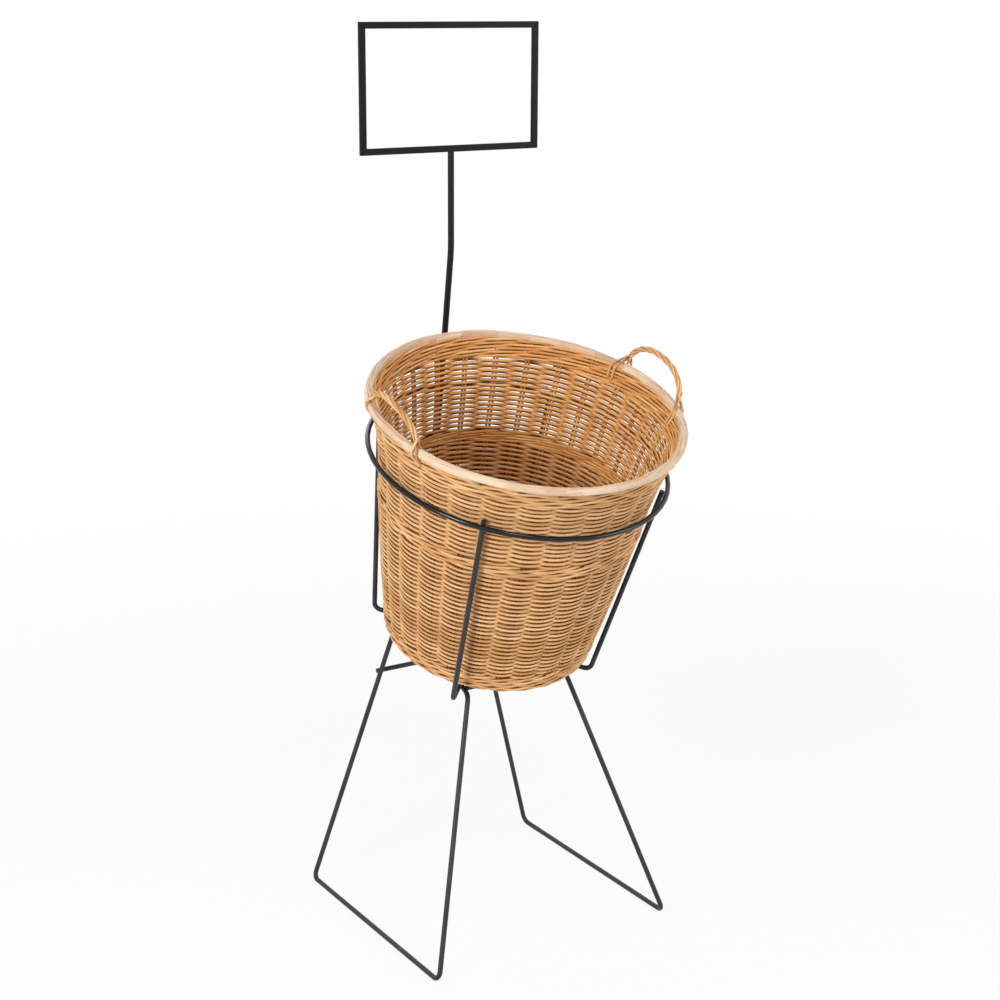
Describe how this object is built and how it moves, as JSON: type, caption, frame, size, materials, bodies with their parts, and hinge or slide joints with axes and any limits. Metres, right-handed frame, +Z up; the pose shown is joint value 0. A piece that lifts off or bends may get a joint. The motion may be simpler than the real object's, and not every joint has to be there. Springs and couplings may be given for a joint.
{
  "type": "bakery bread rack",
  "caption": "Free-standing bent-wire rack holding a tilted, tapered wicker basket for upright loaves, with an open rectangular sign frame on a pole at the back",
  "frame": {"origin": "on the floor, midway between the floor bars of the two sled legs", "axes": "+Z up, front (the low side of the basket) towards -Y, +X to the right as seen from the front"},
  "size_m": [0.3893, 0.446, 1.1277],
  "materials": {
    "black_coat": "matte black powder coat",
    "rattan": "natural rattan, satin",
    "pale_rattan": "peeled pale rattan, satin"
  },
  "bodies": {
    "stand": {"sled_leg_left": "black_coat", "sled_leg_right": "black_coat", "front_cross_bar": "black_coat", "rear_cross_bar": "black_coat", "cradle_wire_lower": "black_coat", "cradle_wire_upper": "black_coat", "basket_hoop": "black_coat", "sign_pole": "black_coat", "sign_bar_bottom": "black_coat", "sign_bar_top": "black_coat", "sign_bar_left": "black_coat", "sign_bar_right": "black_coat"},
    "basket": {"basket_base": "rattan", "basket_foot_wale": "rattan", "basket_lower_wall": "rattan", "basket_middle_wale": "rattan", "basket_upper_wall": "rattan", "basket_top_wale": "rattan", "basket_border": "pale_rattan", "basket_handle_left": "rattan", "basket_handle_right": "rattan"}
  },
  "joints": [
    {"name": "basket_lift", "type": "slide", "parent": "stand", "child": "basket", "axis": [0, -0.309, 0.9511], "range_m": [0, 0.3]}
  ]
}
